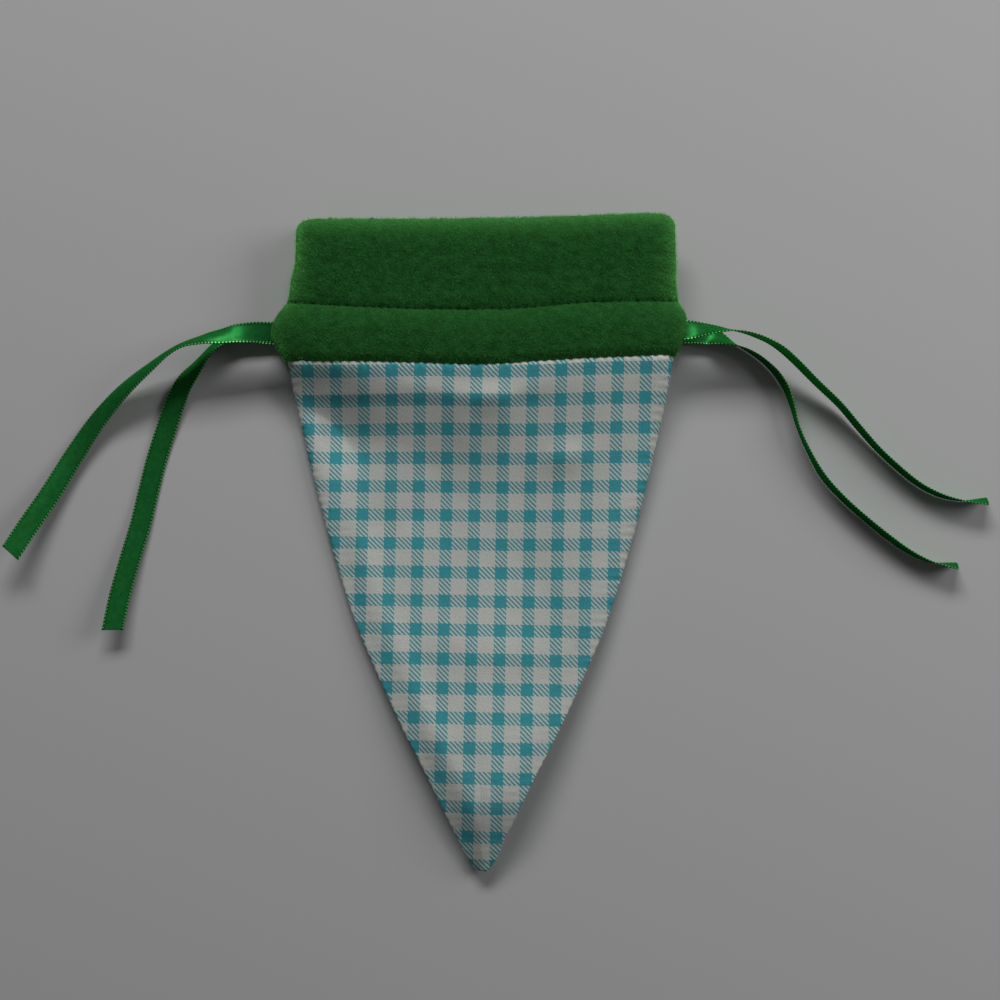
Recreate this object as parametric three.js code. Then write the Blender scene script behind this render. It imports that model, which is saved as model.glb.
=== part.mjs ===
// A carrot-shaped drawstring gift sack, lying flat on its back.
// Millimetres. +Z is up, +Y runs from the pointed tip to the mouth, and the back of the sack lies on Z = 0.
// Two cotton panels make the pouch. Each has a fleece collar: a casing for the drawstring, and above its
// stitch line a header that folds outwards. A satin ribbon runs through each casing and out at both ends.

import * as THREE from 'three';

// Driving dimensions
const TIP_Y = -96.2;
const SEAM_Y = 53.2;
const STITCH_Y = 69.65;
const TOP_Y = 96.2;
const CASING_LENGTH = 122;
const HEADER_WIDTH = 111.6;
const GAP = 0.3;

// Cotton pouch
const COTTON = 0.8;
const RIM_Z = 3.6;
const TIP_LIFT = 3.2;
const TIP_LIFT_REACH = 35;
const PUFF = 4.9;
const PUFF_REACH = 85;
const ROUND_BODY = 2.6;
const SQUARE_TOP = 8;
const FLAT_SHARE = 0.55;
const PANEL_COLUMNS = 14;
const PANEL_ROWS = 20;

// Fleece collars: the height at which each casing and header lies, and the side its stitches show on
const CASING_THICKNESS = 4.8;
const CHANNEL_THICKNESS = 2;
const CHANNEL_START = 2;
const CHANNEL_WIDTH = 11.2;
const HEADER_THICKNESS = 3;
const HEADER_CORNER = 4;
const SOFT_EDGE = 0.8;
const NOTCH_DEPTH = 1.2;
const NOTCH_WIDTH = 1.6;
const NOTCH_SLOPE = 1.8;
const COLLARS = {
  front: { casingZ: 9.4, headerZ: 10, outside: 1 },
  back: { casingZ: 0, headerZ: 0, outside: -1 },
};

// Sewing thread
const THREAD_RADIUS = 0.25;
const THREAD_CLEARANCE = 0.55;
const STITCH_LENGTH = 112;
const STITCH_INSET = 1.05;
const COLLAR_SEAM_Y = 51.8;
const COLLAR_SEAM_REACH = 0.88;
const COLLAR_SEAM_POINTS = 17;
const SIDE_SEAM_INSET = 4;
const SIDE_SEAM_START = 0.13;
const SIDE_SEAM_END = 0.974;
const SIDE_SEAM_POINTS = 14;
const SEAM_STEP = 4.1;

// Satin ribbon
const RIBBON_WIDTH = 6;
const RIBBON_THICKNESS = 0.4;
const RUN_HALF_LENGTH = 40;
const RIBBON_Y = 61.5;
const STEPS_PER_POINT = 2;

// Half of the pouch outline, from the tip to the seam: half width, then distance from the tip
const SIDE_OUTLINE = [
  [1.2, 0],
  [4.4, 2.6],
  [7.3, 8.8],
  [15.4, 26.8],
  [29.6, 55.6],
  [43.5, 91.5],
  [51.6, 122.4],
  [56.8, 149.4],
];

// Ribbon tails, from inside the casing to the cut end: x, y, z, and the roll of the ribbon in degrees.
// At roll 0 the ribbon lies flat. A positive roll lifts the edge on the left of the way it runs.
const TAILS = {
  front_drawstring_left_tail: [
    [-40.4, 61.5, 11.8, 0],
    [-50, 61.5, 11.8, 0],
    [-60.6, 61.4, 11.8, -4],
    [-65, 61.5, 11.9, 0],
    [-70, 61.3, 12, 14],
    [-75, 60.9, 12.1, 34],
    [-80.5, 60.4, 11.8, 54],
    [-87.4, 58.6, 10.8, 75],
    [-92.2, 56.2, 9.7, 72],
    [-97, 52.8, 8.5, 60],
    [-105.6, 45.7, 5.8, 42],
    [-112.9, 37.5, 3.2, 27],
    [-120.6, 26.2, 2.2, 10],
    [-127.2, 14.9, 3.4, -4],
    [-133.2, 5.1, 6, -12],
    [-137.9, -3.1, 8.6, -15],
  ],
  back_drawstring_left_tail: [
    [-40.4, 61.5, 2.4, 0],
    [-50, 61.5, 2.4, 0],
    [-60.6, 61.8, 2.4, 4],
    [-66, 62.2, 2.6, 14],
    [-71.5, 62.4, 2.8, 28],
    [-76.4, 61.2, 3.1, 56],
    [-80.6, 58, 3.1, 64],
    [-84.6, 53.1, 2.9, 50],
    [-88, 48.1, 2.3, 26],
    [-91, 41.5, 1.6, 8],
    [-93.7, 33.7, 1, 2],
    [-96.5, 24.7, 0.8, 0],
    [-98.7, 15.7, 0.9, -1],
    [-100.9, 6, 1.4, -3],
    [-104, -5.3, 2.5, -6],
    [-106.6, -15.7, 3.8, -8],
    [-108.4, -25.6, 5.2, -8],
  ],
  front_drawstring_right_tail: [
    [40.4, 61.5, 11.8, 0],
    [50, 61.8, 11.8, -4],
    [60.6, 62.2, 11.8, -14],
    [64.4, 62.4, 11.8, -40],
    [67.4, 62.5, 11.8, -56],
    [70.3, 62.5, 11.7, -69],
    [73.2, 62.3, 11.5, -80],
    [77, 61.8, 11.2, -87],
    [81.2, 60.6, 10.7, -92],
    [85, 59, 10.1, -94],
    [88.2, 57.1, 9.5, -98],
    [92, 54, 8.5, -99],
    [98.8, 47.6, 6.4, -98],
    [106.4, 40.6, 4.6, -97],
    [111.9, 34.2, 3.8, -97],
    [117.6, 27.8, 3.4, -96],
    [123.7, 22.1, 3.3, -96],
    [129.9, 17.2, 3.3, -95],
    [136.3, 14, 3.3, -94],
    [143, 12.5, 3.3, -86],
    [149.9, 12.4, 3.4, -68],
  ],
  back_drawstring_right_tail: [
    [40.4, 61.5, 2.4, 0],
    [50, 61.8, 2.4, -2],
    [60.6, 62.2, 2.4, -6],
    [64.4, 62.2, 2.4, -8],
    [67.6, 61.8, 2.4, -14],
    [70.6, 60.9, 2.9, -42],
    [74.7, 59.2, 3.3, -74],
    [77.8, 57.9, 3.3, -86],
    [81.4, 55.9, 3.3, -92],
    [85, 53.1, 3.3, -95],
    [88, 49.9, 3.3, -98],
    [90.6, 45.7, 3.3, -98],
    [92.4, 40.5, 3.3, -94],
    [93.8, 35, 3.3, -90],
    [97.1, 27.2, 3.3, -92],
    [101.5, 19.5, 3.3, -97],
    [107.3, 13, 3.3, -97],
    [114.6, 6.5, 3.2, -97],
    [121.4, 1, 3.2, -98],
    [127, -2.8, 3.2, -95],
    [133.2, -5.6, 3.2, -89],
    [140.9, -6.8, 3.2, -70],
  ],
};

const CLOTH = { metalness: 0, side: THREE.DoubleSide };
const cottonMaterial = new THREE.MeshStandardMaterial({ color: 0x7fb4b6, roughness: 0.9, ...CLOTH });
const fleeceMaterial = new THREE.MeshStandardMaterial({ color: 0x1f6626, roughness: 1, ...CLOTH });
const ribbonMaterial = new THREE.MeshStandardMaterial({ color: 0x14692d, roughness: 0.35, ...CLOTH });
const threadMaterial = new THREE.MeshStandardMaterial({ color: 0x17501f, roughness: 0.7, ...CLOTH });
const whiteThreadMaterial = new THREE.MeshStandardMaterial({ color: 0xd8d8d0, roughness: 0.7, ...CLOTH });

function namedMesh(name, geometry, material) {
  const mesh = new THREE.Mesh(geometry, material);
  mesh.name = name;
  return mesh;
}

// A closed sheet between two surfaces, each a function of the shares across and along, 0 to 1.
function closedSheet(upper, lower, columns, rows) {
  const positions = [];
  for (const surface of [upper, lower]) {
    for (let row = 0; row <= rows; row++) {
      for (let column = 0; column <= columns; column++) {
        positions.push(...surface(column / columns, row / rows).toArray());
      }
    }
  }
  const indices = [];
  const stride = columns + 1;
  const under = stride * (rows + 1);
  const quad = (a, b, c, d) => indices.push(a, b, c, a, c, d);
  for (let row = 0; row < rows; row++) {
    for (let column = 0; column < columns; column++) {
      const a = row * stride + column;
      const d = a + stride;
      quad(a, a + 1, d + 1, d);
      quad(under + d, under + d + 1, under + a + 1, under + a);
    }
  }
  const last = rows * stride;
  for (let column = 0; column < columns; column++) {
    quad(under + column, under + column + 1, column + 1, column);
    quad(last + column, last + column + 1, under + last + column + 1, under + last + column);
  }
  for (let row = 0; row < rows; row++) {
    const a = row * stride;
    const b = a + columns;
    quad(under + a + stride, under + a, a, a + stride);
    quad(under + b, under + b + stride, b + stride, b);
  }
  const geometry = new THREE.BufferGeometry();
  geometry.setAttribute('position', new THREE.Float32BufferAttribute(positions, 3));
  geometry.setIndex(indices);
  geometry.computeVertexNormals();
  return geometry;
}

const sideCurve = new THREE.SplineCurve(
  SIDE_OUTLINE.map(([halfWidth, fromTip]) => new THREE.Vector2(halfWidth, TIP_Y + fromTip)),
);

// Height of the underside of the front cotton, at a share u of the half width, -1 to 1.
function frontUnderside(u, y) {
  const reach = Math.min(1, (y - TIP_Y) / PUFF_REACH);
  const rise = PUFF * (1 - (1 - reach) ** 2);
  const topShare = THREE.MathUtils.smoothstep(y, 0, SEAM_Y);
  const power = THREE.MathUtils.lerp(ROUND_BODY, SQUARE_TOP, topShare);
  return RIM_Z + COTTON + GAP + rise * (1 - Math.abs(u) ** power);
}

// Height of the underside of the back cotton: flat in the middle, turned up at the sides and the tip.
function backUnderside(u, y) {
  const lift = TIP_LIFT * (1 - THREE.MathUtils.smoothstep(y - TIP_Y, 0, TIP_LIFT_REACH));
  const turnUp = Math.max(0, (Math.abs(u) - FLAT_SHARE) / (1 - FLAT_SHARE)) ** 2;
  return THREE.MathUtils.lerp(lift, RIM_Z, turnUp);
}

function panel(name, underside) {
  const surface = (extra) => (across, along) => {
    const u = 2 * across - 1;
    const edge = sideCurve.getPoint(along);
    return new THREE.Vector3(u * edge.x, edge.y, underside(u, edge.y) + extra);
  };
  return namedMesh(name, closedSheet(surface(COTTON), surface(0), PANEL_COLUMNS, PANEL_ROWS), cottonMaterial);
}

// The casing's section, across the collar and up. The stitches lie in the notch along its outer top edge.
function casingSection() {
  const start = SEAM_Y + GAP;
  const end = STITCH_Y - GAP / 2;
  const top = CASING_THICKNESS;
  const round = top / 3;
  const section = new THREE.Shape();
  section.moveTo(start + round, 0);
  section.lineTo(end - SOFT_EDGE, 0);
  section.lineTo(end, SOFT_EDGE);
  section.lineTo(end, top - NOTCH_DEPTH);
  section.lineTo(end - NOTCH_WIDTH, top - NOTCH_DEPTH);
  section.lineTo(end - NOTCH_WIDTH - NOTCH_SLOPE, top);
  section.lineTo(start + round, top);
  section.quadraticCurveTo(start, top, start, top - round);
  section.lineTo(start, round);
  section.quadraticCurveTo(start, 0, start + round, 0);
  const channelStart = start + CHANNEL_START;
  const channelEnd = channelStart + CHANNEL_WIDTH;
  const channelLow = (top - CHANNEL_THICKNESS) / 2;
  const channel = new THREE.Path();
  channel.moveTo(channelStart, channelLow);
  channel.lineTo(channelEnd, channelLow);
  channel.lineTo(channelEnd, channelLow + CHANNEL_THICKNESS);
  channel.lineTo(channelStart, channelLow + CHANNEL_THICKNESS);
  channel.closePath();
  section.holes.push(channel);
  return section;
}

// The section runs from end to end. Half a turn about X's direction puts the notch of a back casing below.
function casing(name, outside) {
  const geometry = new THREE.ExtrudeGeometry(casingSection(), {
    depth: CASING_LENGTH,
    bevelEnabled: false,
    curveSegments: 4,
  });
  geometry.translate(0, -CASING_THICKNESS / 2, -CASING_LENGTH / 2);
  const along = new THREE.Vector3(outside, 0, 0);
  const up = new THREE.Vector3(0, 0, outside);
  geometry.applyMatrix4(new THREE.Matrix4().makeBasis(new THREE.Vector3(0, 1, 0), up, along));
  geometry.translate(0, 0, CASING_THICKNESS / 2);
  return namedMesh(name, geometry, fleeceMaterial);
}

// A double layer of fleece with two rounded free corners and softened edges.
function header(name) {
  const half = HEADER_WIDTH / 2;
  const start = STITCH_Y + GAP / 2;
  const outline = new THREE.Shape();
  outline.moveTo(-half, start);
  outline.lineTo(half, start);
  outline.lineTo(half, TOP_Y - HEADER_CORNER);
  outline.absarc(half - HEADER_CORNER, TOP_Y - HEADER_CORNER, HEADER_CORNER, 0, Math.PI / 2);
  outline.absarc(HEADER_CORNER - half, TOP_Y - HEADER_CORNER, HEADER_CORNER, Math.PI / 2, Math.PI);
  outline.closePath();
  const geometry = new THREE.ExtrudeGeometry(outline, {
    depth: HEADER_THICKNESS - 2 * SOFT_EDGE,
    bevelThickness: SOFT_EDGE,
    bevelSize: SOFT_EDGE,
    bevelOffset: -SOFT_EDGE,
    bevelSegments: 2,
    curveSegments: 5,
  });
  geometry.translate(0, 0, SOFT_EDGE);
  return namedMesh(name, geometry, fleeceMaterial);
}

// The row of stitches between a casing and its header.
function stitching(name, outside) {
  const geometry = new THREE.CylinderGeometry(THREAD_RADIUS, THREAD_RADIUS, STITCH_LENGTH, 8);
  geometry.rotateZ(Math.PI / 2);
  const mesh = namedMesh(name, geometry, threadMaterial);
  const fromMiddle = CASING_THICKNESS / 2 - NOTCH_DEPTH + THREAD_CLEARANCE;
  mesh.position.set(0, STITCH_Y - STITCH_INSET, CASING_THICKNESS / 2 + outside * fromMiddle);
  return mesh;
}

// A white thread through a list of points.
function seamThread(name, points) {
  const section = new THREE.Shape();
  section.absarc(0, 0, THREAD_RADIUS, 0, 2 * Math.PI);
  const extrudePath = new THREE.CatmullRomCurve3(points);
  const steps = Math.round(extrudePath.getLength() / SEAM_STEP);
  const geometry = new THREE.ExtrudeGeometry(section, { steps, curveSegments: 6, extrudePath });
  return namedMesh(name, geometry, whiteThreadMaterial);
}

// The seam inside the pouch that joins a panel to its collar.
function collarSeam(name, threadHeight) {
  const halfWidth = sideCurve.getPoint(1).x;
  const points = [];
  for (let index = 0; index < COLLAR_SEAM_POINTS; index++) {
    const u = COLLAR_SEAM_REACH * ((2 * index) / (COLLAR_SEAM_POINTS - 1) - 1);
    points.push(new THREE.Vector3(u * halfWidth, COLLAR_SEAM_Y, threadHeight(u, COLLAR_SEAM_Y)));
  }
  return seamThread(name, points);
}

// The seam that joins the two panels, down one side, round the tip and up the other side.
function sideSeam(name) {
  const oneSide = [];
  for (let index = 0; index < SIDE_SEAM_POINTS; index++) {
    const along = THREE.MathUtils.lerp(SIDE_SEAM_START, SIDE_SEAM_END, index / (SIDE_SEAM_POINTS - 1));
    const edge = sideCurve.getPoint(along);
    const x = edge.x - SIDE_SEAM_INSET;
    const u = x / edge.x;
    const z = (frontUnderside(u, edge.y) + backUnderside(u, edge.y) + COTTON) / 2;
    oneSide.push(new THREE.Vector3(x, edge.y, z));
  }
  const otherSide = oneSide.map((point) => new THREE.Vector3(-point.x, point.y, point.z));
  return seamThread(name, [...otherSide.reverse(), ...oneSide]);
}

// A flat ribbon along a route of points, each with its roll about the way the ribbon runs.
function ribbon(name, route) {
  const centre = new THREE.CatmullRomCurve3(route.map(([x, y, z]) => new THREE.Vector3(x, y, z)));
  const rolls = new THREE.SplineCurve(route.map((point, index) => new THREE.Vector2(index, point[3])));
  const surface = (height) => (across, along) => {
    const forward = centre.getTangent(along);
    const left = new THREE.Vector3(-forward.y, forward.x, 0).normalize();
    const roll = THREE.MathUtils.degToRad(rolls.getPoint(along).y);
    const widthways = left.applyAxisAngle(forward, roll);
    const outwards = new THREE.Vector3().crossVectors(forward, widthways);
    const point = centre.getPoint(along);
    point.addScaledVector(widthways, RIBBON_WIDTH * (0.5 - across));
    return point.addScaledVector(outwards, height);
  };
  const rows = (route.length - 1) * STEPS_PER_POINT;
  const half = RIBBON_THICKNESS / 2;
  return namedMesh(name, closedSheet(surface(half), surface(-half), 1, rows), ribbonMaterial);
}

// The stretch of a drawstring that stays inside its casing.
function ribbonRun(name, casingZ) {
  const geometry = new THREE.BoxGeometry(2 * RUN_HALF_LENGTH, RIBBON_WIDTH, RIBBON_THICKNESS);
  const mesh = namedMesh(name, geometry, ribbonMaterial);
  mesh.position.set(0, RIBBON_Y, casingZ + CASING_THICKNESS / 2);
  return mesh;
}

function collar(side) {
  const { casingZ, headerZ, outside } = COLLARS[side];
  const casingLevel = new THREE.Group();
  casingLevel.position.z = casingZ;
  casingLevel.add(casing(`${side}_casing`, outside));
  casingLevel.add(stitching(`${side}_casing_stitching`, outside));
  const headerMesh = header(`${side}_header`);
  headerMesh.position.z = headerZ;
  const group = new THREE.Group();
  group.add(casingLevel, headerMesh, ribbonRun(`${side}_drawstring_run`, casingZ));
  return group;
}

const sack = new THREE.Group();
sack.name = 'fabric_gift_sack';
sack.add(panel('front_panel', frontUnderside));
sack.add(panel('back_panel', backUnderside));
sack.add(collar('front'));
sack.add(collar('back'));
sack.add(collarSeam('front_collar_seam', (u, y) => frontUnderside(u, y) - THREAD_CLEARANCE));
sack.add(collarSeam('back_collar_seam', (u, y) => backUnderside(u, y) + COTTON + THREAD_CLEARANCE));
sack.add(sideSeam('side_seam'));
for (const [name, route] of Object.entries(TAILS)) {
  sack.add(ribbon(name, route));
}

export default sack;
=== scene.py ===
"""A carrot-shaped drawstring gift sack, lying flat: gingham cotton pouch, fleece collars, satin ribbons.

+X runs to the right, +Y towards the mouth and +Z up, and the table is at z = 0. Objects are in metres. The
collars and the pouch are worked out in millimetres, and turned into metres where they become meshes.
"""

import math

import bpy
import numpy as np
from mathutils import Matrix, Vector


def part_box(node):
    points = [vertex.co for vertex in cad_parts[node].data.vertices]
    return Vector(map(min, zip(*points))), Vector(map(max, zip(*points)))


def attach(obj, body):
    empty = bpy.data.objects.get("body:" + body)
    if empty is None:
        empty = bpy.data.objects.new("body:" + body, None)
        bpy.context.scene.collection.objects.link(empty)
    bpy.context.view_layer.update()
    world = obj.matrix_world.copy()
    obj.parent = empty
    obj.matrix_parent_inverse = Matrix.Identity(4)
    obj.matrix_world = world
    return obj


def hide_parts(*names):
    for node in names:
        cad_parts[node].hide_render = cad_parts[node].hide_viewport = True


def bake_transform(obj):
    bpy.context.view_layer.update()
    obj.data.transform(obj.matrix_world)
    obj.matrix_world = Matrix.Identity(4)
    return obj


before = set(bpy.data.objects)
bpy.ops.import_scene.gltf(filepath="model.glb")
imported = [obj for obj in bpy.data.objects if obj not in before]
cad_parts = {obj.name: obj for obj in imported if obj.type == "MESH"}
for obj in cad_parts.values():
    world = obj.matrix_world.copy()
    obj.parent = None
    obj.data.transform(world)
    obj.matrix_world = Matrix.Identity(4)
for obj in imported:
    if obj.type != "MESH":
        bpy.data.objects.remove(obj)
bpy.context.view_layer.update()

MM = 0.001

# The view: the camera stands a little towards -Y from straight above VIEW_CENTRE, and looks at it.
VIEW_CENTRE = (5.6 * MM, 12.5 * MM, 7 * MM)
VIEW_WIDTH = 294.1 * MM
VIEW_TILT = math.radians(2.8)
LENS = 80
SENSOR = 36

# A soft key light over the mouth's side, a weak fill from the right and a faint sky. Powers are in watts.
KEY_ELEVATION = math.radians(36)
KEY_DISTANCE = 1.5
KEY_OFFSET = -0.16
KEY_SIZE = (1.0, 0.38)
KEY_POWER = 10.6
FILL_POSITION = (0.8, 0.3, 0.5)
FILL_SIZE = (0.5, 0.5)
FILL_POWER = 2.4
SKY_STRENGTH = 0.045
FLOOR_GREY = 0.62
FLOOR_REACH = 12

# Ribbon tails, from inside the casing to the cut end: x, y, z in metres, and the roll in degrees.
TAILS = {
    "front_drawstring_left_tail": [
        (-0.0404, 0.0615, 0.0118, 0),
        (-0.05, 0.0615, 0.0118, 0),
        (-0.0606, 0.0614, 0.0118, -4),
        (-0.065, 0.0615, 0.0119, 0),
        (-0.07, 0.0613, 0.012, 14),
        (-0.075, 0.0609, 0.0121, 34),
        (-0.0805, 0.0604, 0.0118, 54),
        (-0.0874, 0.0586, 0.0108, 75),
        (-0.0922, 0.0562, 0.0097, 72),
        (-0.097, 0.0528, 0.0085, 60),
        (-0.1056, 0.0457, 0.0058, 42),
        (-0.1129, 0.0375, 0.0032, 27),
        (-0.1206, 0.0262, 0.0022, 10),
        (-0.1272, 0.0149, 0.0034, -4),
        (-0.1332, 0.0051, 0.006, -12),
        (-0.1379, -0.0031, 0.0086, -15),
    ],
    "back_drawstring_left_tail": [
        (-0.0404, 0.0615, 0.0024, 0),
        (-0.05, 0.0615, 0.0024, 0),
        (-0.0606, 0.0618, 0.0024, 4),
        (-0.066, 0.0622, 0.0026, 14),
        (-0.0715, 0.0624, 0.0028, 28),
        (-0.0764, 0.0612, 0.0031, 56),
        (-0.0806, 0.058, 0.0031, 64),
        (-0.0846, 0.0531, 0.0029, 50),
        (-0.088, 0.0481, 0.0023, 26),
        (-0.091, 0.0415, 0.0016, 8),
        (-0.0937, 0.0337, 0.001, 2),
        (-0.0965, 0.0247, 0.0008, 0),
        (-0.0987, 0.0157, 0.0009, -1),
        (-0.1009, 0.006, 0.0014, -3),
        (-0.104, -0.0053, 0.0025, -6),
        (-0.1066, -0.0157, 0.0038, -8),
        (-0.1084, -0.0256, 0.0052, -8),
    ],
    "front_drawstring_right_tail": [
        (0.0404, 0.0615, 0.0118, 0),
        (0.05, 0.0618, 0.0118, -4),
        (0.0606, 0.0622, 0.0118, -14),
        (0.0644, 0.0624, 0.0118, -40),
        (0.0674, 0.0625, 0.0118, -56),
        (0.0703, 0.0625, 0.0117, -69),
        (0.0732, 0.0623, 0.0115, -80),
        (0.077, 0.0618, 0.0112, -87),
        (0.0812, 0.0606, 0.0107, -92),
        (0.085, 0.059, 0.0101, -94),
        (0.0882, 0.0571, 0.0095, -98),
        (0.092, 0.054, 0.0085, -99),
        (0.0988, 0.0476, 0.0064, -98),
        (0.1064, 0.0406, 0.0046, -97),
        (0.1119, 0.0342, 0.0038, -97),
        (0.1176, 0.0278, 0.0034, -96),
        (0.1237, 0.0221, 0.0033, -96),
        (0.1299, 0.0172, 0.0033, -95),
        (0.1363, 0.014, 0.0033, -94),
        (0.143, 0.0125, 0.0033, -86),
        (0.1499, 0.0124, 0.0034, -68),
    ],
    "back_drawstring_right_tail": [
        (0.0404, 0.0615, 0.0024, 0),
        (0.05, 0.0618, 0.0024, -2),
        (0.0606, 0.0622, 0.0024, -6),
        (0.0644, 0.0622, 0.0024, -8),
        (0.0676, 0.0618, 0.0024, -14),
        (0.0706, 0.0609, 0.0029, -42),
        (0.0747, 0.0592, 0.0033, -74),
        (0.0778, 0.0579, 0.0033, -86),
        (0.0814, 0.0559, 0.0033, -92),
        (0.085, 0.0531, 0.0033, -95),
        (0.088, 0.0499, 0.0033, -98),
        (0.0906, 0.0457, 0.0033, -98),
        (0.0924, 0.0405, 0.0033, -94),
        (0.0938, 0.035, 0.0033, -90),
        (0.0971, 0.0272, 0.0033, -92),
        (0.1015, 0.0195, 0.0033, -97),
        (0.1073, 0.013, 0.0033, -97),
        (0.1146, 0.0065, 0.0032, -97),
        (0.1214, 0.001, 0.0032, -98),
        (0.127, -0.0028, 0.0032, -95),
        (0.1332, -0.0056, 0.0032, -89),
        (0.1409, -0.0068, 0.0032, -70),
    ],
}

# The slant of each tail's cut end: how far one corner stands ahead of the other, halved.
CUTS = {
    "front_drawstring_left_tail": 0.5 * MM,
    "back_drawstring_left_tail": -0.6 * MM,
    "front_drawstring_right_tail": 0.2 * MM,
    "back_drawstring_right_tail": 0.2 * MM,
}
CUT_REACH = 4 * MM

# The ribbon: its size, the loops (picots) along its edges, and the pitch of its weft.
RIBBON_WIDTH = 6 * MM
RIBBON_THICKNESS = 0.28 * MM
PICOT_PITCH = 1.0 * MM
STEPS_PER_PICOT = 6
PICOT_STAND_OUT = 0.09 * MM
WEFT_PITCH = 0.3 * MM

# The collars' seam and stitch line, the thickness of one layer of fleece, and the pitch of every row of
# stitches.
SEAM_Y = 53.35 * MM
STITCH_Y = 69.65 * MM
FLEECE = 1.3 * MM
STITCH_LENGTH = 2.5 * MM

# Four of them in millimetres
SEAM, STITCH, LAYER, STITCH_STEP = SEAM_Y / MM, STITCH_Y / MM, FLEECE / MM, STITCH_LENGTH / MM

COTTON = 0.35 * MM

# Printed gingham, in millimetres: the size of one repeat across and up, and the pitch of the print's
# diagonal lines and of the threads. PATTERN_START and PATTERN_SHIFT place the print, and PATTERN_TURN is the
# slope it is turned by about PATTERN_PIVOT.
PATTERN_U = 8.27
PATTERN_V = 8.6
DIAGONAL_PITCH = 1.40
THREAD_PITCH_U = 0.38
THREAD_PITCH_V = 0.36
PATTERN_START = (44, -6.6)
PATTERN_SHIFT = 0.7
PATTERN_PIVOT = (3, 40.7)
PATTERN_TURN = 0.01876

# A rounded rim stands out by this share of half the sheet's thickness.
RIM = 0.7

# One stitch: the part of its pitch that shows, rings along it, sides round it, and the quads of a flat end.
STITCH_SPAN = (0.08, 0.92)
STITCH_RINGS = 7
STITCH_SIDES = 8
STITCH_END = ((0, 1, 2, 3), (0, 3, 4, 7), (4, 5, 6, 7))
CASING_THREAD = 0.24 * MM  # the radius of a stitch in its middle, in each kind of row
COLLAR_THREAD = 0.12 * MM
SIDE_THREAD = 0.15 * MM


# ---------------------------------------------------------------- helpers


def smooth_curve(points):
    """A function through the points (x, y) by cubics, level where the points turn; flat beyond its ends."""
    x, y = np.array(points, float).T
    slope = np.diff(y) / np.diff(x)
    tangent = np.concatenate([slope[:1], (slope[1:] + slope[:-1]) / 2, slope[-1:]])
    tangent[1:-1][slope[1:] * slope[:-1] <= 0] = 0

    def value(at):
        at = np.clip(at, x[0], x[-1])
        i = np.clip(np.searchsorted(x, at, side="right") - 1, 0, len(x) - 2)
        span = x[i + 1] - x[i]
        t = (at - x[i]) / span
        return (
            (1 + 2 * t) * (1 - t) ** 2 * y[i]
            + t * (1 - t) ** 2 * span * tangent[i]
            + t * t * (3 - 2 * t) * y[i + 1]
            + t * t * (t - 1) * span * tangent[i + 1]
        )

    return value


def smoothstep(value, low, high):
    """value taken from low..high to 0..1, smoothly. low may be the larger one."""
    t = np.clip((value - low) / (high - low), 0, 1)
    return t * t * (3 - 2 * t)


def hump(value, centre, width):
    """A smooth hump: 1 at the centre, and 0.37 at width to either side of it."""
    return np.exp(-(((value - centre) / width) ** 2))


def noise(points, cell, seed):
    """Smooth value noise, -1 to 1, at an array of 3-D points."""
    size = 32
    table = np.random.default_rng(seed).uniform(-1, 1, (size, size, size))
    p = np.asarray(points) / cell
    base = np.floor(p).astype(int)
    t = p - base
    t = t * t * (3 - 2 * t)
    total = 0
    for corner in np.ndindex(2, 2, 2):
        i = (base + corner) % size
        weight = np.prod(np.where(np.array(corner) == 1, t, 1 - t), axis=-1)
        total = total + weight * table[i[..., 0], i[..., 1], i[..., 2]]
    return total


def mesh_object(name, vertices, faces, material, uv=None):
    """A smooth-shaded object from an array of vertices and one of faces, with one UV per vertex if given."""
    vertices, faces = np.asarray(vertices, np.float32), np.asarray(faces, np.int32)
    mesh = bpy.data.meshes.new(name)
    mesh.vertices.add(len(vertices))
    mesh.vertices.foreach_set("co", vertices.ravel())
    mesh.loops.add(faces.size)
    mesh.loops.foreach_set("vertex_index", faces.ravel())
    mesh.polygons.add(len(faces))
    mesh.polygons.foreach_set("loop_start", np.arange(len(faces), dtype=np.int32) * faces.shape[1])
    mesh.update(calc_edges=True)
    mesh.validate()
    if uv is not None:
        layer = mesh.uv_layers.new(name="pattern")
        corners = np.empty(len(mesh.loops), np.int32)
        mesh.loops.foreach_get("vertex_index", corners)
        layer.data.foreach_set("uv", np.asarray(uv, np.float32)[corners].ravel())
    mesh.polygons.foreach_set("use_smooth", [True] * len(mesh.polygons))
    mesh.materials.append(material)
    return linked(bpy.data.objects.new(name, mesh))


def linked(obj):
    """The object, put in the scene."""
    bpy.context.scene.collection.objects.link(obj)
    return obj


def grid_normals(grid):
    """Unit normals of a grid of points, by rows and columns."""
    down = np.gradient(grid, axis=0)
    across = np.gradient(grid, axis=1)
    normal = np.cross(across, down)
    return normal / np.maximum(np.linalg.norm(normal, axis=2, keepdims=True), 1e-12)


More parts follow.
